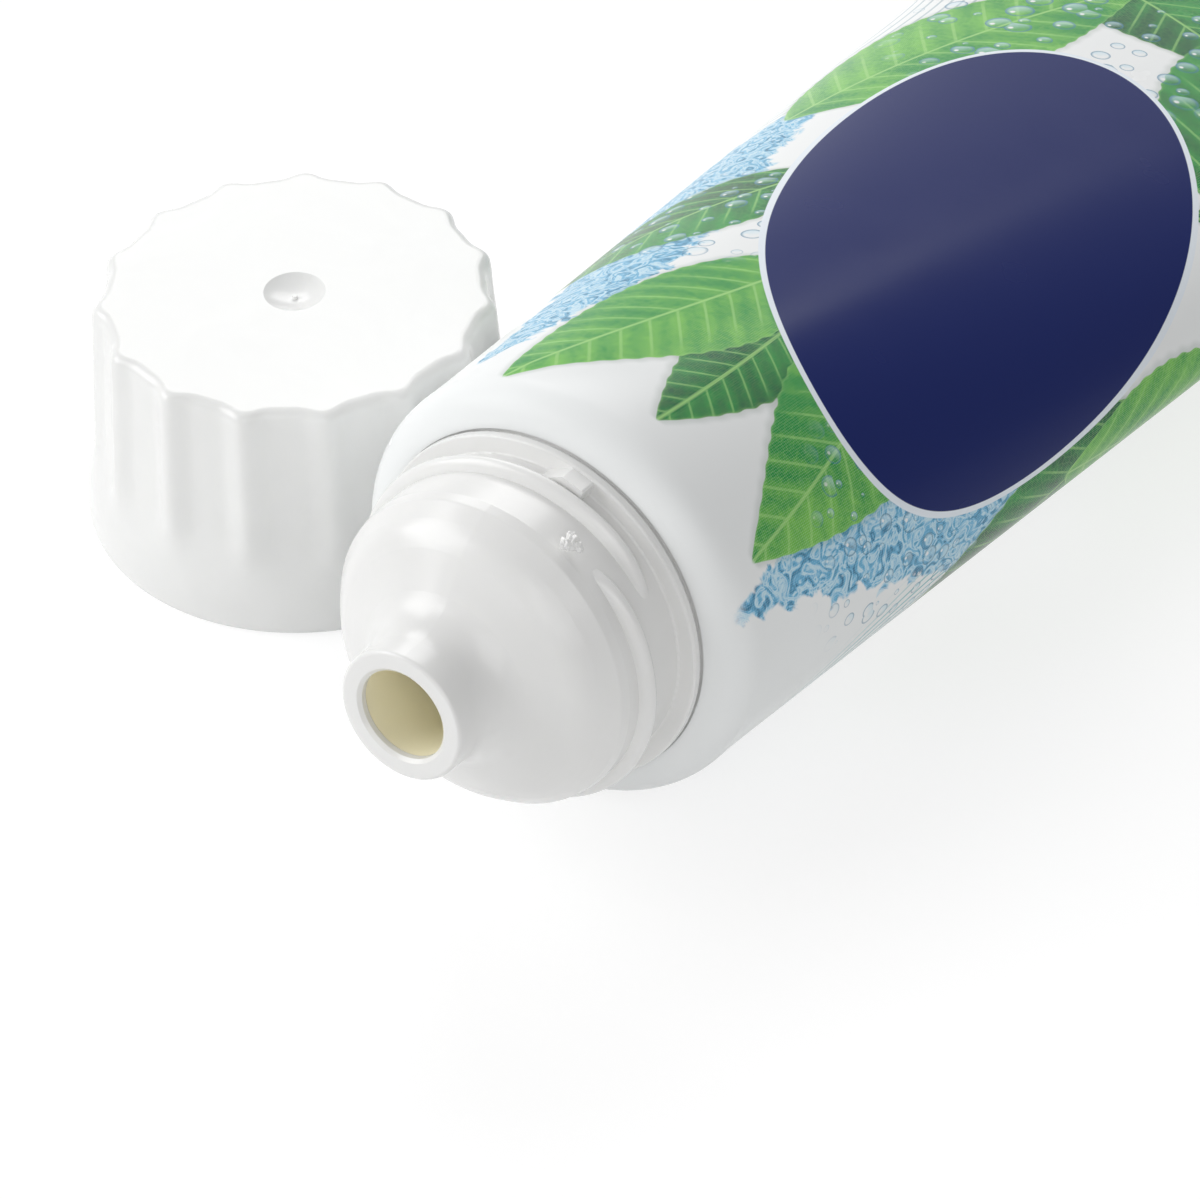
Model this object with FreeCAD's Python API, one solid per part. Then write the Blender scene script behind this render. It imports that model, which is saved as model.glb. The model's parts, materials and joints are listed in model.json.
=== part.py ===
"""Laminate squeeze tube for toothpaste, lying on its lower face, with its screw cap standing beside it.

The tube is drawn along its own axis: x = 0 is the plane where the sleeve reaches its full radius behind the
rounded shoulder, the crimped tail is at +x and the nozzle at -x. It is then tilted so that it rests on the
shoulder's lowest point and on the edge of the crimp. Row frame: +X from nozzle to tail, +Y towards the cap,
+Z up, origin on the table under the middle of the whole group's box. All sizes are in millimetres.
"""
import FreeCAD
import Part
import math
import os
from FreeCAD import Vector

# Sleeve: a laminate cylinder, welded to the shoulder in front and pressed flat at the tail
sleeve_radius = 19.0
sleeve_length = 160.0
sleeve_wall = 0.35
sleeve_round_length = 2.0
corner_start = 0.4
corner_radius = 3.25
crimp_length = 8.0
crimp_thickness = 1.0
crimp_rib_count = 7
crimp_rib_depth = 0.12
section_count = 9

# Shoulder: one moulding with the neck, its thread and the nozzle; heights are measured forward from x = 0
lip_height = 23.3
lip_radius = 5.85
lip_round = 0.35
bore_radius = 4.0
bore_chamfer = 0.3
mouth_length = 0.8
nose_root_height = 18.4
nose_root_radius = 5.95
nose_flare_round = 4.2
dome_height = 15.0
dome_radius = 12.2
dome_round = 5.5
rim_height = 12.6
rim_radius = 13.9
rim_round = 0.45
neck_radius = 14.1
collar_height = 4.8
collar_radius = 15.7
collar_width = 0.9
collar_round = 0.2
groove_radius = 15.2
shoulder_skirt_length = 1.5
shoulder_skirt_wall = 1.0
shoulder_disc_wall = 1.45
neck_wall = 1.6
throat_radius = 10.0
throat_height = 12.9
spout_back_height = 14.4

# Thread and stop lug on the neck; azimuths turn clockwise seen from the front, from the top
thread_crest_radius = 15.2
thread_pitch = 3.2
thread_width = 1.5
thread_start_height = 10.2
thread_start_azimuth = 29.0
thread_turns = 1.11
thread_steps_per_turn = 24
lug_radius = 15.5
lug_azimuth = 19.5
lug_face_sweep = 8.0
lug_ramp_sweep = 9.0
lug_length = 1.7

# Barrier insert that lines the shoulder, and the paste behind it
insert_wall = 0.6
fit_clearance = 0.05
paste_face_height = 11.2
paste_face_radius = 6.0
paste_face_sag = 0.8

# Cap: one moulding, standing on its mouth
cap_height = 22.5
cap_top_radius = 17.5
cap_draft = 3.9
cap_flare = 0.6
cap_flare_top = 7.5
cap_flare_bottom = 2.6
cap_top_round = 0.95
cap_base_round = 0.8
flute_count = 15
flute_depth = 0.85
flute_end_height = 4.2
flute_full_height = 9.5
flute_turn = 9.9
cap_wall = 1.25
cap_top_wall = 1.4
cap_skirt_wall = 1.1
cap_skirt_recess = 1.8
cap_thread_clearance = 0.3
dimple_radius = 2.7
dimple_depth = 0.75
gate_nub_radius = 0.35
gate_nub_height = 0.3
seal_boss_radius = 6.6
seal_plug_wall = 0.8
seal_plug_length = 1.6

# Where the cap stands: behind the shoulder's plane along the tube, and clear of the tube's side
cap_along = 15.0
cap_side_clearance = 1.2

# Values that follow from the sizes above
skirt_radius = sleeve_radius - sleeve_wall
face_height = corner_radius + corner_start
shoulder_face_height = face_height - sleeve_wall
sleeve_edge_radius = sleeve_radius - corner_radius
collar_rear = collar_height - collar_width
crimp_start = sleeve_length - crimp_length
crimp_half = crimp_thickness / 2
tilt = math.degrees(math.atan2(sleeve_radius - crimp_half, sleeve_length - sleeve_round_length))
cap_draft_slope = math.tan(math.radians(cap_draft))
cap_base_radius = cap_top_radius + cap_height * cap_draft_slope + cap_flare
cap_mouth_radius = thread_crest_radius + cap_thread_clearance
seal_boss_length = cap_height - cap_top_wall - (lip_height - face_height)

along_tube = Vector(1, 0, 0)
upwards = Vector(0, 0, 1)
zero = Vector(0, 0, 0)


def rounded_outline(corners, to_point):
    """Closed wire through (u, r, rounding) corners; each rounding is an arc tangent to both its sides."""
    points = [to_point(u, r) for u, r, _ in corners]
    ends = []
    for i, (_, _, rounding) in enumerate(corners):
        here = points[i]
        back = (points[i - 1] - here).normalize()
        ahead = (points[(i + 1) % len(points)] - here).normalize()
        if rounding <= 0:
            ends.append((here, None, here))
            continue
        half = back.getAngle(ahead) / 2
        reach = rounding / math.tan(half)
        inward = (back + ahead).normalize()
        middle = here + inward * (rounding / math.sin(half) - rounding)
        ends.append((here + back * reach, middle, here + ahead * reach))
    edges = []
    for i, (start, middle, finish) in enumerate(ends):
        if middle is not None:
            edges.append(Part.Arc(start, middle, finish).toShape())
        following = ends[(i + 1) % len(ends)][0]
        if finish.distanceToPoint(following) > 1e-6:
            edges.append(Part.LineSegment(finish, following).toShape())
    return Part.Wire(edges)


def on_tube(height, r):
    """A point of the tube's half section, by its height in front of x = 0 and its radius."""
    return Vector(-height, 0, r)


def on_cap(z, r):
    """A point of the cap's half section."""
    return Vector(r, 0, z)


def turned(corners, to_point, axis):
    """Solid turned from an outline about the tube's or the cap's axis."""
    return Part.Face(rounded_outline(corners, to_point)).revolve(zero, axis, 360)


def inset(line, distance):
    """The same open line of (height, r) points, moved towards the axis by a distance, with mitred corners."""
    moved = []
    normals = []
    for (h0, r0), (h1, r1) in zip(line, line[1:]):
        length = math.hypot(h1 - h0, r1 - r0)
        normals.append(((r1 - r0) / length, -(h1 - h0) / length))
    for i, (h, r) in enumerate(line):
        before = normals[max(i - 1, 0)]
        after = normals[min(i, len(normals) - 1)]
        share = distance / (1 + before[0] * after[0] + before[1] * after[1])
        moved.append((h + share * (before[0] + after[0]), r + share * (before[1] + after[1])))
    return moved


def half_width(half_height):
    """Half-width of the ellipse with this half-height whose girth is still the round sleeve's."""
    girth = 2 * math.pi * sleeve_radius
    low, high = half_height, girth / 4
    for _ in range(50):
        wide = (low + high) / 2
        lean = ((wide - half_height) / (wide + half_height)) ** 2
        outline = math.pi * (wide + half_height) * (1 + 3 * lean / (10 + math.sqrt(4 - 3 * lean)))
        low, high = (low, wide) if outline > girth else (wide, high)
    return wide


def sleeve_half_height(x):
    """The sleeve flattens evenly from its round front to the crimp."""
    share = (x - sleeve_round_length) / (crimp_start - sleeve_round_length)
    return sleeve_radius + (crimp_half - sleeve_radius) * min(max(share, 0.0), 1.0)


def smooth_section(points):
    """Closed wire of one smooth curve through the points."""
    curve = Part.BSplineCurve()
    curve.interpolate(Points=points, PeriodicFlag=True)
    return Part.Wire([curve.toShape()])


def around(count):
    """Evenly spaced angles of one turn."""
    return [2 * math.pi * i / count for i in range(count)]


def flattening_body(inside):
    """Loft through the sleeve's sections, from the round front to the crimp, set in by a thickness."""
    sections = []
    for i in range(section_count):
        x = sleeve_round_length + (crimp_start - sleeve_round_length) * i / (section_count - 1)
        tall = sleeve_half_height(x)
        side = Vector(x, half_width(tall) - inside, 0)
        top = Vector(x, 0, tall - inside)
        if i == 0:
            outline = Part.Circle(side, top, Vector(x, -side.y, 0))
        else:
            outline = Part.Ellipse(side, top, Vector(x, 0, 0))
        sections.append(Part.Wire([outline.toShape()]))
    return Part.makeLoft(sections, True, False)


def helical_ridge(core, crest, width, pitch, turns):
    """Ridge of a right-hand thread about +X, of rounded section, that starts at x = 0 and azimuth 0.

    It runs towards +x as it turns clockwise seen from -x, and rises out of the core at its start
    and sinks back at its end. Its section is centred a little below the core and starts at its
    buried side. A crest inside the core makes a nut's thread.
    """
    foot = 0.15
    end_depth = 0.35
    end_reach = 0.3
    ease = 0.09
    sign = math.copysign(1, crest - core)
    middle = core - sign * foot
    sections = []
    steps = int(round(thread_steps_per_turn * turns))
    for i in range(steps + 1):
        turn = turns * i / steps
        rise = math.sin(math.pi / 2 * min(min(turn, turns - turn) / ease, 1.0)) ** 2
        reach = end_reach + (abs(crest - middle) - end_reach) * rise
        angle = -2 * math.pi * turn
        points = []
        for a in around(12):
            x = pitch * turn + width / 2 * math.sin(a)
            r = middle - sign * (reach * math.cos(a) + end_depth * (1 - rise))
            points.append(Vector(x, r * math.sin(angle), r * math.cos(angle)))
        sections.append(smooth_section(points))
    return Part.makeLoft(sections, True, False)


def turned_to(shape, azimuth):
    """Turns a piece about the tube's axis to an azimuth, clockwise seen from the front."""
    shape.rotate(zero, along_tube, azimuth)
    return shape


# The shoulder's inner line, from its skirt forward to the seat of the insert's spout
inner_neck = neck_radius - neck_wall
spout_radius = bore_radius + insert_wall + fit_clearance
disc_inner = shoulder_face_height - shoulder_disc_wall
inner_line = [
    (-shoulder_skirt_length, skirt_radius - shoulder_skirt_wall),
    (disc_inner - 2.0, skirt_radius - shoulder_skirt_wall),
    (disc_inner, sleeve_edge_radius - 0.2),
    (disc_inner, inner_neck),
    (rim_height - neck_wall, inner_neck),
    (throat_height, throat_radius),
    (spout_back_height, spout_radius),
    (lip_height - mouth_length, spout_radius),
]


def make_shoulder():
    """Shoulder, neck and nozzle as one moulding, with the thread ridge and the stop lug."""
    outer = [
        (lip_height, bore_radius + bore_chamfer, 0.1),
        (lip_height, lip_radius, lip_round),
        (nose_root_height, nose_root_radius, nose_flare_round),
        (dome_height, dome_radius, dome_round),
        (rim_height, rim_radius, rim_round),
        (rim_height - 0.9, neck_radius, 0.3),
        (collar_height, neck_radius, collar_round),
        (collar_height, collar_radius, collar_round),
        (collar_rear, collar_radius, collar_round),
        (collar_rear, groove_radius, 0.1),
        (shoulder_face_height, groove_radius, 0.1),
        (shoulder_face_height, skirt_radius, corner_radius - sleeve_wall),
        (-shoulder_skirt_length, skirt_radius, 0),
    ]
    mouth = [(lip_height - mouth_length, bore_radius, 0), (lip_height - bore_chamfer, bore_radius, 0)]
    body = turned(outer + [(h, r, 0) for h, r in inner_line] + mouth, on_tube, along_tube)
    ridge = helical_ridge(neck_radius, thread_crest_radius, thread_width, thread_pitch, thread_turns)
    ridge.translate(Vector(-thread_start_height, 0, 0))
    body = body.fuse(turned_to(ridge, thread_start_azimuth))
    return body.fuse(make_lug())


def make_lug():
    """Stop lug between the thread and the collar: a ramp on one side, a square face on the other."""
    buried = neck_radius - 0.5
    face = math.radians(lug_face_sweep)
    foot = math.radians(lug_face_sweep + lug_ramp_sweep)
    corners = [(0, buried), (0, lug_radius), (face, lug_radius), (foot, neck_radius - 0.1), (foot, buried)]
    points = [Vector(-collar_height, -r * math.sin(-a), r * math.cos(a)) for a, r in corners]
    block = Part.Face(Part.makePolygon(points + points[:1])).extrude(Vector(-lug_length, 0, 0))
    long_edges = [edge for edge in block.Edges if abs(edge.tangentAt(edge.FirstParameter).x) > 0.99
                  and edge.CenterOfMass.cross(along_tube).Length > lug_radius - 0.1]
    block = block.makeFillet(0.2, long_edges)
    block.translate(Vector(0.1, 0, 0))
    return turned_to(block, lug_azimuth)


def make_barrier_insert():
    """Thin cream liner pressed into the shoulder: disc, neck wall, cone and spout in one piece."""
    outside = inset(inner_line[2:], fit_clearance)
    inside = inset(inner_line[2:], fit_clearance + insert_wall)
    front = lip_height - mouth_length - fit_clearance
    outside[-1] = (front, outside[-1][1])
    inside[-1] = (front, bore_radius)
    inside[0] = (inside[0][0], outside[0][1])
    return turned([(h, r, 0) for h, r in outside + inside[::-1]], on_tube, along_tube)


def make_sleeve():
    """Laminate sleeve: turned in over the shoulder's corner, round, then flattening to the ribbed crimp."""
    start = (face_height, sleeve_edge_radius, 0)
    front = [
        start,
        (face_height, sleeve_radius, corner_radius),
        (-sleeve_round_length, sleeve_radius, 0),
        (-sleeve_round_length, skirt_radius, 0),
        (shoulder_face_height, skirt_radius, corner_radius - sleeve_wall),
        (shoulder_face_height, sleeve_edge_radius, 0),
    ]
    sleeve = turned(front, on_tube, along_tube)
    wall = flattening_body(0).cut(flattening_body(sleeve_wall))
    wide = half_width(crimp_half)
    crimp = Part.makeBox(crimp_length, 2 * wide, crimp_thickness, Vector(crimp_start, -wide, -crimp_half))
    rib_step = crimp_length / (crimp_rib_count + 1)
    rib_radius = rib_step / 3
    grooves = []
    for i in range(crimp_rib_count):
        for side in (-1, 1):
            depth_centre = side * (crimp_half + rib_radius - crimp_rib_depth)
            base = Vector(crimp_start + rib_step * (i + 1), -wide - 1, depth_centre)
            grooves.append(Part.makeCylinder(rib_radius, 2 * wide + 2, base, Vector(0, 1, 0)))
    crimp = crimp.cut(grooves)
    return sleeve.fuse([wall, crimp]).removeSplitter()


def make_paste():
    """The fill: a hollow-faced plug behind the spout, the neck, and the body inside the sleeve."""
    gap = 2 * fit_clearance + insert_wall
    lining = inset(inner_line[3:6], gap)
    back = shoulder_skirt_length + 2.0
    skirt_inside = skirt_radius - shoulder_skirt_wall - fit_clearance
    disc_face = lining[0][0] - gap
    outline = [
        (paste_face_height - paste_face_sag, 0, 0),
        (paste_face_height, paste_face_radius, 0.4),
        (lining[1][0] - 0.6, lining[1][1], 0.5),
        (disc_face, lining[0][1], 0),
        (disc_face - 0.4, sleeve_edge_radius - 1.2, 0),
        (disc_inner - 2.4, skirt_inside, 0),
        (-back, skirt_inside, 0),
        (-back, 0, 0),
    ]
    head = turned(outline, on_tube, along_tube)
    return head.fuse(flattening_body(sleeve_wall + fit_clearance)).removeSplitter()


def cap_outer_radius(z):
    """Radius of the cap over its flute tips: drafted wall, flared base and rounded edges."""
    share = min(max((cap_flare_top - z) / (cap_flare_top - cap_flare_bottom), 0.0), 1.0)
    radius = cap_top_radius + (cap_height - z) * cap_draft_slope + cap_flare * share * share * (3 - 2 * share)
    for edge, rounding in ((cap_height, cap_top_round), (0.0, cap_base_round)):
        into = max(rounding - abs(edge - z), 0.0)
        radius -= rounding - math.sqrt(max(rounding ** 2 - into ** 2, 0.0))
    return radius


def cap_section(z):
    """Outline of the cap at a height: shallow flutes that narrow and fade towards the base."""
    share = min(max((z - flute_end_height) / (flute_full_height - flute_end_height), 0.0), 1.0)
    fade = share * share * (3 - 2 * share)
    sharpness = 2 + 3 * fade
    points = []
    for angle in around(flute_count * 10):
        tip = abs(math.cos(flute_count * angle / 2)) ** sharpness
        r = cap_outer_radius(z) - flute_depth * fade * (1 - tip)
        turn = angle + math.radians(flute_turn)
        points.append(Vector(r * math.cos(turn), r * math.sin(turn), z))
    return smooth_section(points)


def make_cap():
    """Screw cap: fluted skirt, top with a gate dimple, threaded inner wall and sealing plug."""
    rise = flute_full_height - cap_base_round
    fall = cap_height - cap_top_round - flute_full_height
    levels = [cap_base_round * (1 - math.cos(math.radians(turn))) for turn in (0, 30, 60)]
    levels += [cap_base_round + rise * i / 11 for i in range(12)]
    levels += [flute_full_height + fall * share for share in (0.3, 0.6, 0.85)]
    levels += [cap_height - cap_top_round * (1 - math.sin(math.radians(turn))) for turn in (0, 22, 45, 67, 90)]
    shell = Part.makeLoft([cap_section(z) for z in levels], True, False)
    ceiling = cap_height - cap_top_wall
    boss_end = ceiling - seal_boss_length
    plug_radius = bore_radius - fit_clearance
    hollow = [
        (cap_skirt_recess, cap_mouth_radius, 0.2),
        (ceiling, cap_mouth_radius - 0.25, 0.6),
        (ceiling, seal_boss_radius, 0.4),
        (boss_end, seal_boss_radius, 0.3),
        (boss_end, plug_radius, 0),
        (boss_end - seal_plug_length, plug_radius - 0.15, 0.15),
        (boss_end - seal_plug_length, plug_radius - seal_plug_wall, 0.15),
        (ceiling - 0.5, plug_radius - seal_plug_wall, 0.3),
        (ceiling - 0.5, 0, 0),
        (cap_skirt_recess, 0, 0),
    ]
    shell = shell.cut(turned(hollow, on_cap, upwards))
    flare_gap = [
        (-1, 0, 0),
        (-1, cap_base_radius - cap_wall, 0),
        (cap_flare_bottom, cap_base_radius - cap_wall, 1.5),
        (cap_flare_top, cap_mouth_radius + cap_skirt_wall + 0.3, 0),
        (cap_flare_top, cap_mouth_radius + cap_skirt_wall, 0),
        (cap_skirt_recess, cap_mouth_radius + cap_skirt_wall, 0),
        (cap_skirt_recess, 0, 0),
    ]
    shell = shell.cut(turned(flare_gap, on_cap, upwards))
    dish_radius = (dimple_radius ** 2 + dimple_depth ** 2) / (2 * dimple_depth)
    shell = shell.cut(Part.makeSphere(dish_radius, Vector(0, 0, cap_height - dimple_depth + dish_radius)))
    nub_base = Vector(0, 0, cap_height - dimple_depth - 0.2)
    nub = Part.makeCone(gate_nub_radius, gate_nub_radius * 0.6, gate_nub_height + 0.2, nub_base, upwards)
    ridge = helical_ridge(cap_mouth_radius - 0.05, neck_radius + cap_thread_clearance, thread_width, thread_pitch,
                          thread_turns)
    ridge.rotate(zero, Vector(0, 1, 0), 90)
    ridge.translate(Vector(0, 0, cap_skirt_recess + thread_width + thread_pitch * thread_turns))
    return shell.fuse([nub, ridge])


# Sizes of the resting group, and its place in the row frame
lean = math.radians(tilt)
group_front = -(lip_height * math.cos(lean) + (lip_radius - lip_round) * math.sin(lean))
group_back = sleeve_length * math.cos(lean) + crimp_half * math.sin(lean)
cap_side = half_width(sleeve_half_height(cap_along)) + cap_top_radius + cap_side_clearance
group_low_side = -half_width(crimp_half)
group_high_side = cap_side + cap_base_radius
tube_place = Vector(-(group_front + group_back) / 2, -(group_low_side + group_high_side) / 2,
                    sleeve_radius * math.cos(lean) + sleeve_round_length * math.sin(lean))
cap_place = Vector(tube_place.x + cap_along, tube_place.y + cap_side, 0)

os.makedirs("parts", exist_ok=True)
for name, shape in (("sleeve", make_sleeve()), ("shoulder", make_shoulder()),
                    ("barrier_insert", make_barrier_insert()), ("paste", make_paste())):
    shape.rotate(zero, Vector(0, 1, 0), tilt)
    shape.translate(tube_place)
    shape.exportStep(f"parts/{name}.step")
cap = make_cap()
cap.translate(cap_place)
cap.exportStep("parts/cap.step")
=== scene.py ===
import json
import math
import bpy
from mathutils import Matrix, Vector


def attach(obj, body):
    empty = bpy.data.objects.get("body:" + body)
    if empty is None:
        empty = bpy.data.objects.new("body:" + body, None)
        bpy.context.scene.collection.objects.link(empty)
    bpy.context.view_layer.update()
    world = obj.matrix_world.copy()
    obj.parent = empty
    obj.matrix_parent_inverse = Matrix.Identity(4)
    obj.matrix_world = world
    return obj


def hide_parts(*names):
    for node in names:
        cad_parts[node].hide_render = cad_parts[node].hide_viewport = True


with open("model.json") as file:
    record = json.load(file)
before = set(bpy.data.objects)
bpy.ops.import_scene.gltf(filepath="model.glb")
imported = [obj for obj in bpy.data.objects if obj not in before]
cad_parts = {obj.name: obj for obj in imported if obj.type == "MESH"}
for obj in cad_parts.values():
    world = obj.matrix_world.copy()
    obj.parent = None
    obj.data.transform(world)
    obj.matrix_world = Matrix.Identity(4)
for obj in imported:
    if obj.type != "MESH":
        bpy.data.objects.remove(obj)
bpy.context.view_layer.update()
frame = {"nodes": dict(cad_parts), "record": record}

# Printed sleeve.
# A plastic-and-foil laminate, rolled into a tube, turned in over the shoulder's rounded corner and welded
# to it. The tail is pressed flat and heat-welded with ribs across. It is full, so its girth stays the same.

sleeve_radius = 0.019
sleeve_wall = 0.00035
sleeve_length = 0.160
sleeve_round_end = 0.002
corner_start = 0.0004
corner_radius = 0.00325
crimp_length = 0.008
crimp_half = 0.0005
crimp_ribs = 7
crimp_rib_depth = 0.00012
# How far along its step each rib's edges come, and 1 where the rib is sunk.
crimp_rib_edges = ((0.35, 0), (0.45, 1), (0.75, 1), (0.85, 0))
sleeve_girth = 2 * math.pi * sleeve_radius
sleeve_points = 160
corner_rings = 12
body_rings = 44
tolerance = 1e-6

mounts = {mount["name"]: mount for mount in frame["record"]["mounts"]}
tube_axis = Vector(mounts["tail_crimp"]["axis"])
tube_origin = Vector(mounts["tail_crimp"]["pos_m"]) - tube_axis * (sleeve_length - crimp_length / 2)
tube_lean = math.atan2(-tube_axis.z, tube_axis.x)


def take(piece):
    """Selects one piece alone and makes it the active one."""
    bpy.ops.object.select_all(action="DESELECT")
    piece.select_set(True)
    bpy.context.view_layer.objects.active = piece


def lay_on_tube(piece):
    """Moves a piece to where the tube lies. It is made about X, from the shoulder's rear plane at x = 0."""
    place = Matrix.Translation(tube_origin) @ Matrix.Rotation(tube_lean, 4, "Y")
    piece.matrix_world = place @ piece.matrix_world
    take(piece)
    bpy.ops.object.transform_apply(location=True, rotation=True, scale=True)


def smooth_by(piece, degrees):
    """Smooths a piece's shading, apart from edges sharper than the angle."""
    take(piece)
    bpy.ops.object.shade_smooth_by_angle(angle=math.radians(degrees))


def sleeve_half_width(half_height):
    """Half-width of the flattened sleeve, an ellipse whose girth is still that of the round one."""
    low = half_height
    high = sleeve_girth / 4
    halvings = 50
    for _ in range(halvings):
        wide = (low + high) / 2
        # The usual close rule for the length of an ellipse's outline.
        lean = ((wide - half_height) / (wide + half_height)) ** 2
        outline = math.pi * (wide + half_height) * (1 + 3 * lean / (10 + math.sqrt(4 - 3 * lean)))
        low, high = (low, wide) if outline > sleeve_girth else (wide, high)
    return wide


def sleeve_rings():
    """Each ring's place along the tube, half-width and half-height, from the turned-in edge to the tail."""
    rings = []
    for i in range(corner_rings + 1):
        turn = math.pi / 2 * i / corner_rings
        r = sleeve_radius - corner_radius + corner_radius * math.sin(turn)
        rings.append((-corner_start - corner_radius * math.cos(turn), r, r))
    crimp_start = sleeve_length - crimp_length
    for i in range(body_rings + 1):
        x = sleeve_round_end + (crimp_start - sleeve_round_end) * i / body_rings
        tall = sleeve_radius + (crimp_half - sleeve_radius) * i / body_rings
        rings.append((x, max(sleeve_half_width(tall), tall), tall))
    rib_step = crimp_length / crimp_ribs
    for rib in range(crimp_ribs):
        for share, sunk in crimp_rib_edges:
            tall = crimp_half - crimp_rib_depth * sunk
            rings.append((crimp_start + rib_step * (rib + share), sleeve_half_width(crimp_half), tall))
    rings.append((sleeve_length, sleeve_half_width(crimp_half), crimp_half))
    return rings


def pick(piece, wanted):
    """Selects, in edit mode, the corner points for which the test on their place is true."""
    bpy.ops.mesh.select_all(action="DESELECT")
    bpy.ops.object.mode_set(mode="OBJECT")
    for point in piece.data.vertices:
        point.select = wanted(point.co)
    bpy.ops.object.mode_set(mode="EDIT")


def press_crimp_flat(piece, rings):
    """Presses the upper and the lower layer of each ring in the crimp flat."""
    for x, _, tall in rings:
        if x <= sleeve_length - crimp_length:
            continue
        for side in (-1, 1):
            pick(piece, lambda co: abs(co.x - x) < tolerance and co.z * side > tolerance)
            bpy.ops.transform.resize(value=(1, 1, 0), center_override=(x, 0, side * tall))


def wrap_print_round(piece):
    """Gives the sleeve a map in metres. One number runs along the tube, the other round it from the top."""
    seam_slack = 1e-4
    beside_seam = 0.45
    mesh = piece.data
    points_at = {}
    for point in mesh.vertices:
        points_at.setdefault(round(point.co.x, 7), []).append(point)
    round_from_top = {}
    for ring in points_at.values():
        flat = max(abs(point.co.y) for point in ring) / max(abs(point.co.z) for point in ring)
        turn = {}
        for point in ring:
            angle = math.atan2(point.co.y, point.co.z * flat)
            turn[point.index] = -math.pi if angle > math.pi - seam_slack else angle
        ring.sort(key=lambda point: turn[point.index])
        reached = [0.0]
        for before, after in zip(ring, ring[1:] + ring[:1]):
            reached.append(reached[-1] + (after.co - before.co).length)
        for point, distance in zip(ring, reached):
            round_from_top[point.index] = (distance / reached[-1] - 0.5) * sleeve_girth
    chart = mesh.uv_layers.new(name="print_wrap")
    for face in mesh.polygons:
        for corner in face.loop_indices:
            index = mesh.loops[corner].vertex_index
            across = round_from_top[index]
            if across < -sleeve_girth * beside_seam and face.center.y > 0:
                across += sleeve_girth
            chart.data[corner].uv = (mesh.vertices[index].co.x, across)


ring_sizes = sleeve_rings()
bpy.ops.object.select_all(action="DESELECT")
bpy.ops.mesh.primitive_circle_add(vertices=sleeve_points, radius=ring_sizes[0][1],
                                  location=(ring_sizes[0][0], 0, 0), rotation=(0, math.pi / 2, 0))
sleeve = bpy.context.object
sleeve.name = "printed_sleeve"
bpy.ops.object.transform_apply(location=True, rotation=True, scale=True)
bpy.ops.object.mode_set(mode="EDIT")
bpy.ops.mesh.select_all(action="SELECT")
for (x0, wide0, tall0), (x1, wide1, tall1) in zip(ring_sizes, ring_sizes[1:]):
    bpy.ops.mesh.extrude_region_move(TRANSFORM_OT_translate={"value": (x1 - x0, 0, 0)})
    bpy.ops.transform.resize(value=(1, wide1 / wide0, tall1 / tall0), center_override=(x1, 0, 0))
press_crimp_flat(sleeve, ring_sizes)
pick(sleeve, lambda co: co.x > sleeve_length - tolerance)
bpy.ops.mesh.edge_face_add()
bpy.ops.mesh.select_all(action="SELECT")
bpy.ops.mesh.normals_make_consistent(inside=False)
bpy.ops.object.mode_set(mode="OBJECT")
wrap_print_round(sleeve)
sleeve_thickness = sleeve.modifiers.new("laminate_thickness", "SOLIDIFY")
sleeve_thickness.thickness = sleeve_wall
sleeve_thickness.offset = -1
take(sleeve)
bpy.ops.object.modifier_apply(modifier="laminate_thickness")

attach(sleeve, "tube")
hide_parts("sleeve")
lay_on_tube(sleeve)
smooth_by(sleeve, 35)


class Value:
    """A shader socket: arithmetic on it adds Math nodes, and node() adds any other kind of node."""

    def __init__(self, tree, socket=None):
        self.tree = tree
        self.socket = socket

    def node(self, kind, settings=None, inputs=None, output=0):
        new = self.tree.nodes.new("ShaderNode" + kind)
        for name, setting in (settings or {}).items():
            if name == "stops":
                marks = new.color_ramp.elements
                while len(marks) < len(setting):
                    marks.new(1.0)
                for mark, (place, colour) in zip(marks, setting):
                    mark.position = place
                    mark.color = (*colour, 1)
            else:
                setattr(new, name, setting)
        for name, value in (inputs or {}).items():
            if isinstance(value, Value):
                self.tree.links.new(value.socket, new.inputs[name])
            else:
                new.inputs[name].default_value = value
        return Value(self.tree, new.outputs[output])

    def math(self, operation, *others):
        return self.node("Math", {"operation": operation}, dict(enumerate((self,) + others)))

    def __add__(self, other):
        return self.math("ADD", other)

    def __sub__(self, other):
        return self.math("SUBTRACT", other)

    def __mul__(self, other):
        return self.math("MULTIPLY", other)

    def __truediv__(self, other):
        return self.math("DIVIDE", other)

    def __rsub__(self, other):
        return self * -1 + other

    def __abs__(self):
        return self.math("ABSOLUTE")

    __radd__ = __add__
    __rmul__ = __mul__


def new_finish(name, **constants):
    """A material with the shader's constant sockets set, then its shader, then a Value to build on."""
    finish = bpy.data.materials.new(name)
    finish.use_nodes = True
    shader = finish.node_tree.nodes["Principled BSDF"]
    for socket, value in constants.items():
        shader.inputs[socket.replace("_", " ")].default_value = value
    return finish, shader, Value(finish.node_tree)


def feed(value, shader, socket):
    """Links a value to one of a shader's sockets."""
    value.tree.links.new(value.socket, shader.inputs[socket])


def ramp_up(value, start, end):
    """Runs smoothly from 0 to 1 as the value goes from start to end."""
    return value.node("MapRange", {"interpolation_type": "SMOOTHSTEP"}, {0: value, 1: start, 2: end})


def ink_over(mask, under, over):
    """Lays one ink over another where the mask is 1."""
    return mask.node("Mix", {"data_type": "RGBA"}, {0: mask, 6: under, 7: over}, output=2)


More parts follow.
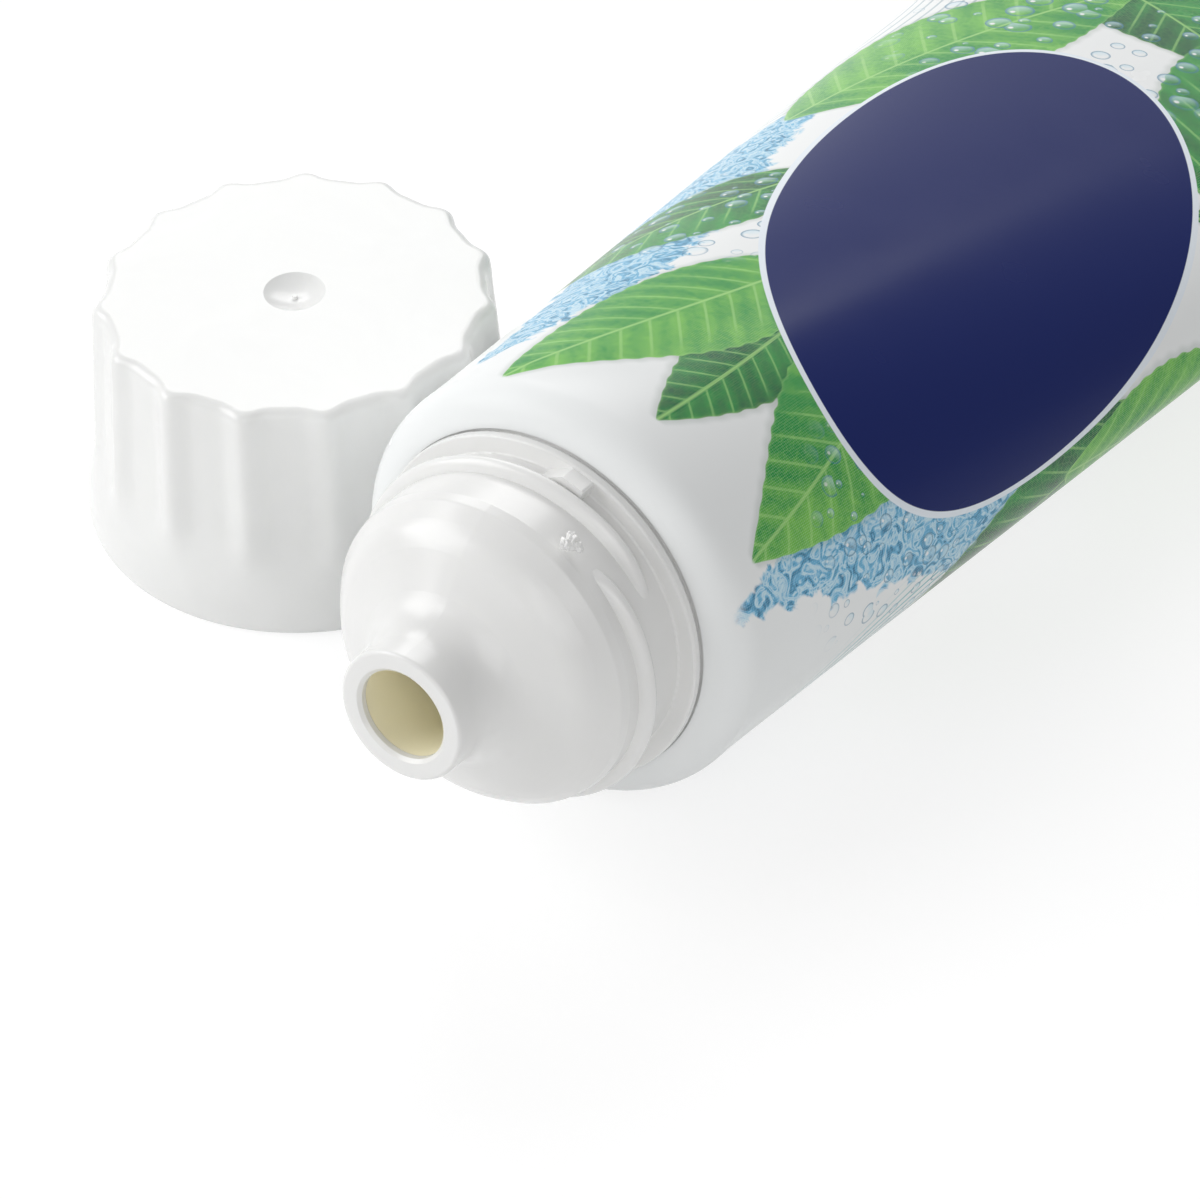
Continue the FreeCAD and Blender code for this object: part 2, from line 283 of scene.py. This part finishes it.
def ink(red, green, blue):
    """A screen colour of 0 to 255 as the linear colour that a shader takes."""
    linear = [((c / 255 + 0.055) / 1.055) ** 2.4 if c > 10 else c / 3294.6 for c in (red, green, blue)]
    return (*linear, 1)


laminate_white = ink(244, 246, 246)
leaf_bright = ink(122, 196, 84)
leaf_middle = ink(46, 150, 68)
leaf_dark = ink(4, 92, 50)
leaf_vein = ink(166, 218, 132)
water_pale = ink(205, 232, 243)
water_blue = ink(110, 184, 222)
water_deep = ink(58, 124, 160)
line_teal = ink(120, 190, 196)
line_grey = ink(196, 208, 212)
badge_navy = ink(6, 28, 96)
badge_rim = ink(236, 243, 250)

laminate, laminate_shader, paint = new_finish("printed_laminate", Specular_IOR_Level=0.11)
wrap = paint.node("UVMap", {"uv_map": "print_wrap"})
millimetres = 1000.0
spread = paint.node("VectorMath", {"operation": "SCALE"}, {0: wrap, "Scale": millimetres})
along = paint.node("SeparateXYZ", {}, {0: spread}, 0)
across = paint.node("SeparateXYZ", {}, {0: spread}, 1)


def noise(scale, detail, distortion=0.0):
    """Soft noise on the flat print; the scale is in waves per millimetre."""
    return paint.node("TexNoise", {"noise_dimensions": "2D"},
                      {"Vector": spread, "Scale": scale, "Detail": detail, "Distortion": distortion})


blotches = noise(0.12, 3.0)
ragged = noise(0.35, 4.0, 0.6)
ripple = noise(0.55, 5.0, 2.2)
fine_grain = noise(1.6, 3.0)
vein_cells = paint.node("TexVoronoi", {"voronoi_dimensions": "2D", "feature": "DISTANCE_TO_EDGE"},
                        {"Vector": spread, "Scale": 1.5, "Randomness": 1.0}, "Distance")
vein_net = 1 - ramp_up(vein_cells, 0.02, 0.12)


def contour_lines(under, centre, radii, spacing, colour):
    """A sheaf of thin lines, all at one spacing round a far centre, that fades out at both its sides."""
    thickness = 0.16
    fade_in = 1.0
    fade_out = 4.0
    bare_nose, full_from = 2.0, 7.0
    u = along - centre[0]
    v = across - centre[1]
    distance = (u * u + v * v).math("SQRT")
    saw = (distance / spacing).math("FRACT")
    line = ramp_up(abs(saw - 0.5), 0.5 - thickness, 0.5 - thickness * 0.5)
    inner, outer = radii
    sheaf = ramp_up(distance, inner, inner + fade_in) * (1 - ramp_up(distance, outer - fade_out, outer))
    sheaf = sheaf * ramp_up(along, bare_nose, full_from)
    return ink_over(line * sheaf, under, colour)


def water_ribbon(under, start, end, width, sway):
    """A ribbon of splashing water with ragged edges and pointed ends, printed in blues."""
    ragged_reach = 5
    edge_softness = 0.3
    length = math.hypot(end[0] - start[0], end[1] - start[1])
    c = (end[0] - start[0]) / length
    s = (end[1] - start[1]) / length
    u = along - start[0]
    v = across - start[1]
    p = (u * c + v * s) / length
    q = v * c - u * s - (p * (2 * math.pi)).math("SINE") * sway
    body = p * (1 - p) * 4
    edge = (body.math("MAXIMUM", 0.0) * (width / 2) + (ragged - 0.5) * ragged_reach) - abs(q)
    mask = ramp_up(edge, -edge_softness, edge_softness) * ramp_up(body, 0.02, 0.12)
    shade = paint.node("ValToRGB", {"stops": ((0.28, water_deep[:3]), (0.45, water_blue[:3]),
                                             (0.58, water_pale[:3]), (0.72, water_blue[:3]))}, {0: ripple})
    return ink_over(mask, under, shade)


def leaf(under, middle, size, turn, shades):
    """One leaf with toothed edges, a midrib, slanting side veins, a net of fine veins and a soft shadow."""
    bow = 0.10
    tip_narrowing = 0.25
    tooth_pitch = 1.9
    tooth_depth = 0.10
    vein_lean = 0.8
    vein_curve = 1.5
    vein_step = 0.085
    pale_edge = 0.35
    shadow_reach = 0.9
    length, width = size
    c = math.cos(math.radians(turn))
    s = math.sin(math.radians(turn))
    u = along - middle[0]
    v = across - middle[1]
    p = (u * c + v * s) / (length / 2)
    taper = (1 - p * p).math("MAXIMUM", 0.0)
    q = (v * c - u * s) / (width / 2) - taper * bow
    teeth = (p * (length / 2) * (2 * math.pi / tooth_pitch)).math("SINE") * tooth_depth
    half = taper.math("POWER", 0.9) * (1 - p * tip_narrowing)
    inside = (half - abs(q)) * (width / 2) + teeth * taper
    mask = ramp_up(inside, -0.05, 0.07)
    rise = abs(q) * (width / 2)
    slant = p * (length / 2) - rise * vein_lean + taper * vein_curve
    swell = (slant * (2 * math.pi / (length * vein_step))).math("SINE")
    light, dark = shades
    tone = (swell * 0.20 + (blotches - 0.5) * 1.6 + (fine_grain - 0.5) * 0.9
            + ramp_up(q, -0.2, 0.2) * 0.36 + 0.3)
    flesh = ink_over(tone.math("MINIMUM", 1.0).math("MAXIMUM", 0.0), dark, light)
    side_vein = ramp_up(swell, 0.90, 0.99) * (1 - ramp_up(abs(q), 0.5, 0.95)) * 0.45
    midrib = 1 - ramp_up(rise, 0.08, 0.24)
    flesh = ink_over((side_vein + vein_net * 0.16).math("MAXIMUM", midrib * 0.75), flesh, leaf_vein)
    flesh = ink_over((1 - ramp_up(inside, 0.0, pale_edge)) * 0.3, flesh, leaf_vein)
    between_tips = ramp_up(taper, 0.0, 0.06)
    shadowed = ink_over(ramp_up(inside, -shadow_reach, 0.0) * between_tips * 0.22, under, leaf_dark)
    return ink_over(mask * between_tips, shadowed, flesh)


def drops(under, middle, reach, spacing, seed):
    """Clear round drops of mixed sizes, each with a dark rim, a bright far side and a spark of light."""
    smallest = 0.07
    size_spread = 0.34
    spark_aside = 0.35
    u = along - middle[0]
    v = across - middle[1]
    near = 1 - ramp_up((u * u + v * v).math("SQRT"), reach * 0.6, reach)
    moved = paint.node("VectorMath", {"operation": "ADD"}, {0: spread, 1: (seed * 17.3, seed * 5.1, 0)})
    cells = {"voronoi_dimensions": "2D"}
    inputs = {"Vector": moved, "Scale": 1 / spacing, "Randomness": 0.8}
    distance = paint.node("TexVoronoi", cells, inputs, "Distance")
    dice = paint.node("TexVoronoi", cells, inputs, "Color")
    centre = paint.node("TexVoronoi", cells, inputs, "Position")
    offset = paint.node("VectorMath", {"operation": "SUBTRACT"}, {0: moved, 1: centre})
    size = paint.node("SeparateXYZ", {}, {0: dice}, 0) * size_spread + smallest
    r = distance / size
    p = paint.node("SeparateXYZ", {}, {0: offset}, 0) / (size * spacing)
    q = paint.node("SeparateXYZ", {}, {0: offset}, 1) / (size * spacing)
    bead = ink_over(ramp_up(p + q, -1.0, 1.2) * 0.6, under, water_pale)
    bead = ink_over(ramp_up(r, 0.66, 0.95) * 0.75, bead, water_deep)
    spark_u = p + spark_aside
    spark_v = q - spark_aside
    spark = 1 - ramp_up((spark_u * spark_u + spark_v * spark_v).math("SQRT"), 0.12, 0.24)
    bead = ink_over(spark, bead, laminate_white)
    return ink_over((1 - ramp_up(r, 0.93, 1.0)) * near, under, bead)


def badge(under, middle, size, turn):
    """A plain navy badge, all but an oval, with a white outline of even width."""
    squareness = 2.06
    rim_fade = (0.62, 0.72)
    long_half, short_half = size
    c = math.cos(math.radians(turn))
    s = math.sin(math.radians(turn))
    u = along - middle[0]
    v = across - middle[1]
    p = abs((u * c + v * s) / long_half)
    q = abs((v * c - u * s) / short_half)
    d = (p.math("POWER", squareness) + q.math("POWER", squareness)).math("POWER", 1 / squareness)
    reach = (u * u + v * v).math("SQRT")
    beyond = reach - reach / d
    outlined = ink_over(1 - ramp_up(beyond, *rim_fade), under, badge_rim)
    return ink_over(1 - ramp_up(beyond, -0.05, 0.05), outlined, badge_navy)


printed = contour_lines(laminate_white, (34.0, -70.0), (27.0, 42.0), 1.15, line_teal)
printed = contour_lines(printed, (88.0, 62.0), (34.0, 50.0), 1.2, line_grey)
printed = contour_lines(printed, (120.0, -70.0), (30.0, 52.0), 1.2, line_teal)
printed = water_ribbon(printed, (-3.0, -24.0), (58.0, -33.0), 12.0, 2.0)
printed = water_ribbon(printed, (2.0, 13.0), (70.0, 19.0), 12.0, -2.2)
printed = water_ribbon(printed, (72.0, -32.0), (140.0, -6.0), 14.0, 2.0)
# Each leaf's middle, along the tube and round it, its length and width, its turn and its two inks.
leaves = (
    ((34.0, -36.0), (36.0, 13.0), 205.0, (leaf_middle, leaf_dark)),
    ((60.0, -36.0), (38.0, 14.0), -12.0, (leaf_bright, leaf_middle)),
    ((36.0, 15.5), (34.0, 12.5), 152.0, (leaf_middle, leaf_dark)),
    ((15.0, -6.0), (27.0, 9.0), 183.0, (leaf_middle, leaf_dark)),
    ((16.5, 2.6), (36.0, 13.5), 166.0, (leaf_bright, leaf_middle)),
    ((18.0, -15.5), (36.0, 13.5), 197.0, (leaf_bright, leaf_middle)),
    ((102.0, 5.0), (34.0, 15.0), 248.0, (leaf_middle, leaf_dark)),
    ((84.0, 14.0), (46.0, 17.0), -16.0, (leaf_bright, leaf_middle)),
    ((84.0, -24.0), (30.0, 12.0), 158.0, (leaf_middle, leaf_dark)),
    ((95.0, -12.0), (44.0, 16.0), 14.0, (leaf_middle, leaf_dark)),
    ((82.0, -31.0), (38.0, 14.0), 20.0, (leaf_bright, leaf_dark)),
    ((122.0, 16.0), (40.0, 15.0), 10.0, (leaf_middle, leaf_dark)),
    ((128.0, -14.0), (38.0, 15.0), -20.0, (leaf_bright, leaf_middle)),
)
for middle, size, turn, shades in leaves:
    printed = leaf(printed, middle, size, turn, shades)
printed = drops(printed, (92.0, 6.0), 22.0, 3.6, 1)
printed = drops(printed, (38.0, 13.0), 15.0, 2.9, 2)
printed = drops(printed, (20.0, -26.0), 14.0, 2.4, 3)
dot_pitch = 0.42
dot_strength = 0.17
dots = ((along + across) * (2 * math.pi / dot_pitch)).math("SINE") * (
    ((along - across) * (2 * math.pi / dot_pitch)).math("SINE"))
printed = ink_over(ramp_up(dots, 0.0, 0.7) * dot_strength, printed, laminate_white)
printed = badge(printed, (51.7, -7.45), (36.7, 17.95), 20.9)
feed(printed, laminate_shader, "Base Color")
laminate_roughness = 0.25
feed((blotches - 0.5) * 0.10 + laminate_roughness, laminate_shader, "Roughness")
sleeve.data.materials.append(laminate)

# Shoulder.
# One white plastic moulding: the domed nozzle, the neck with its thread and stop lug, the collar and the
# rounded shoulder that the sleeve is welded to.


def moulded_plastic(name, colour, roughness):
    """Plastic as it leaves a polished mould, with faint flow marks and a very slight unevenness."""
    finish, shader, plastic = new_finish(name, Subsurface_Weight=0.12,
                                         Subsurface_Radius=(1.0, 1.0, 0.9), Subsurface_Scale=0.0012)
    place = plastic.node("TexCoord", output=3)
    flow = plastic.node("TexNoise", {}, {"Vector": place, "Scale": 90.0, "Detail": 3.0, "Distortion": 1.2})
    grain = plastic.node("TexNoise", {}, {"Vector": place, "Scale": 2200.0, "Detail": 2.0})
    duller = tuple(c * 0.97 for c in colour)
    tone = plastic.node("ValToRGB", {"stops": ((0.3, duller), (0.7, colour))}, {0: flow})
    feed(tone, shader, "Base Color")
    feed((flow - 0.5) * 0.12 + roughness, shader, "Roughness")
    height = flow * 0.6 + grain * 0.05
    bump = plastic.node("Bump", {}, {"Strength": 0.12, "Distance": 0.0004, "Height": height})
    feed(bump, shader, "Normal")
    return finish


def refinish(node, finish):
    """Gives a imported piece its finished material."""
    mesh = frame["nodes"][node].data
    mesh.materials.clear()
    mesh.materials.append(finish)


shoulder_white = moulded_plastic("shoulder_white", (0.86, 0.86, 0.85), 0.24)
refinish("shoulder", shoulder_white)

# Gate scar.
# The same white plastic, a ragged bead of it, left where the hot plastic ran into the mould beside the
# thread's start and was torn off when the shoulder came out.

scar_size = 0.00062
scar_azimuth = math.radians(29)
scar_radius = 0.0150
scar_x = -0.0109
scar_grain = 0.00007
torn_step = 0.0004
torn_depth = 0.0006
# Each lobe's place forwards and sideways of the scar's middle, and its share of the scar's size.
scar_lobes = ((0.0, 0.0, 1.0), (0.0006, -0.0003, 0.7), (-0.0002, 0.0006, 0.65), (-0.0005, -0.0004, 0.6))
bpy.ops.object.select_all(action="DESELECT")
for forward, sideways, share in scar_lobes:
    turn = scar_azimuth + sideways / scar_radius
    place = (scar_x - forward, -scar_radius * math.sin(turn), scar_radius * math.cos(turn))
    bpy.ops.mesh.primitive_ico_sphere_add(subdivisions=3, radius=scar_size * share, location=place)
    lobe = bpy.context.object
    bpy.ops.object.transform_apply(location=True, rotation=True, scale=True)
    if forward == 0.0:
        scar = lobe
    else:
        scar.select_set(True)
        bpy.context.view_layer.objects.active = scar
        bpy.ops.object.join()
scar.name = "gate_scar"
merged = scar.modifiers.new("merged", "REMESH")
merged.voxel_size = scar_grain
take(scar)
bpy.ops.object.modifier_apply(modifier="merged")
torn = bpy.data.textures.new("torn_plastic", "CLOUDS")
torn.noise_scale = torn_step
rough = scar.modifiers.new("torn", "DISPLACE")
rough.texture = torn
rough.strength = torn_depth
bpy.ops.object.modifier_apply(modifier="torn")
scar.data.materials.clear()
scar.data.materials.append(shoulder_white)
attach(scar, "tube")
lay_on_tube(scar)
smooth_by(scar, 60)

# Barrier insert.
# A thin liner moulded in a cream plastic that keeps the flavour in. It is pressed into the shoulder from
# inside, and its spout lines the nozzle's bore.

barrier_cream = moulded_plastic("barrier_cream", (0.99, 0.93, 0.69), 0.38)
refinish("barrier_insert", barrier_cream)

# Paste.
# The fill, a wet and pearly paste. It is pumped in at the open tail before the crimp is welded, and it
# stands a little behind the bore.

paste_shade = (0.72, 0.8, 0.78)
paste_pearl = (0.85, 0.9, 0.89)
paste_finish, paste_shader, pearl = new_finish("pearly_paste", Subsurface_Weight=0.4,
                                               Subsurface_Scale=0.003, Roughness=0.15)
pearl_place = pearl.node("TexCoord", output=3)
pearl_swirl = pearl.node("TexNoise", {}, {"Vector": pearl_place, "Scale": 160.0, "Detail": 2.0,
                                         "Distortion": 1.5})
pearl_tone = pearl.node("ValToRGB", {"stops": ((0.3, paste_shade), (0.7, paste_pearl))}, {0: pearl_swirl})
feed(pearl_tone, paste_shader, "Base Color")
refinish("paste", paste_finish)

# Cap.
# One white plastic moulding with a thread and a sealing plug inside and shallow flutes for grip outside.
# It has been unscrewed and stands on its mouth beside the tube.

cap_white = moulded_plastic("cap_white", (0.87, 0.875, 0.865), 0.24)
refinish("cap", cap_white)

# Table, light and camera.
# A white table top in a white room, under three soft boxes, seen by a long lens from above the nozzle's
# left. A look at the table or the room sees them white, and the light they shed is left as it is.

table_width = 4.0
table_colour = (0.95, 0.95, 0.95, 1)
table_seen_colour = (0.32, 0.32, 0.32, 1)
table_seen_glow = 0.755
room_light = 0.33
room_seen_as = 0.87
white = (1, 1, 1, 1)


def looked_at(surface):
    """1 for a look from the camera, in a reflection or through something clear, and 0 for light shed."""
    camera_ray = surface.node("LightPath", output="Is Camera Ray")
    glossy_ray = surface.node("LightPath", output="Is Glossy Ray")
    clear_ray = surface.node("LightPath", output="Is Transmission Ray")
    return (camera_ray + glossy_ray + clear_ray).math("MINIMUM", 1.0)


bpy.ops.object.select_all(action="DESELECT")
bpy.ops.mesh.primitive_plane_add(size=table_width, location=(0, 0, 0))
table = bpy.context.object
table.name = "table"
table_paint = bpy.data.materials.new("table_white")
table_paint.use_nodes = True
top = Value(table_paint.node_tree)
lit_top = top.node("BsdfDiffuse", {}, {"Color": table_colour})
seen_shade = top.node("BsdfDiffuse", {}, {"Color": table_seen_colour})
seen_white = top.node("Emission", {}, {"Color": white, "Strength": table_seen_glow})
seen_top = top.node("AddShader", {}, {0: seen_shade, 1: seen_white})
painted = top.node("MixShader", {}, {0: looked_at(top), 1: lit_top, 2: seen_top})
feed(painted, table_paint.node_tree.nodes["Material Output"], "Surface")
table.data.materials.append(table_paint)

world = bpy.data.worlds.new("studio")
bpy.context.scene.world = world
world.use_nodes = True
room = Value(world.node_tree)
background = world.node_tree.nodes["Background"]
background.inputs["Color"].default_value = white
feed(looked_at(room) * (room_seen_as - room_light) + room_light, background, "Strength")


def soft_box(name, place, aim, size, power):
    """A rectangular studio lamp, aimed at a point."""
    bpy.ops.object.light_add(type="AREA", location=place)
    lamp = bpy.context.object
    lamp.name = name
    lamp.data.shape = "RECTANGLE"
    lamp.data.size, lamp.data.size_y = size
    lamp.data.energy = power
    lamp.rotation_euler = (Vector(aim) - Vector(place)).to_track_quat("-Z", "Y").to_euler()


soft_box("back_box", (0.60, 0.42, 0.62), (0, 0, 0), (0.75, 0.5), 4.1)
soft_box("left_box", (-0.45, 0.62, 0.45), (-0.03, 0, 0), (0.6, 0.5), 3.8)
soft_box("front_box", (-0.60, -0.42, 0.45), (-0.03, 0, 0), (0.6, 0.5), 1.4)

camera_from_tube = (-0.27342, -0.20057)
camera_height = 0.31669
view_direction = Vector((0.60743, 0.43862, -0.6623))
camera_roll = math.radians(-1.7525)
lens_length = 165
film_width = 36
nearest_seen = 0.01
bpy.ops.object.camera_add(location=tube_origin + Vector((*camera_from_tube, camera_height - tube_origin.z)))
camera = bpy.context.object
camera.name = "photo_camera"
turned = view_direction.to_track_quat("-Z", "Y").to_matrix() @ Matrix.Rotation(camera_roll, 3, "Z")
camera.rotation_euler = turned.to_euler()
camera.data.lens = lens_length
camera.data.sensor_width = film_width
camera.data.clip_start = nearest_seen
bpy.context.scene.camera = camera
bpy.context.scene.view_settings.view_transform = "Standard"
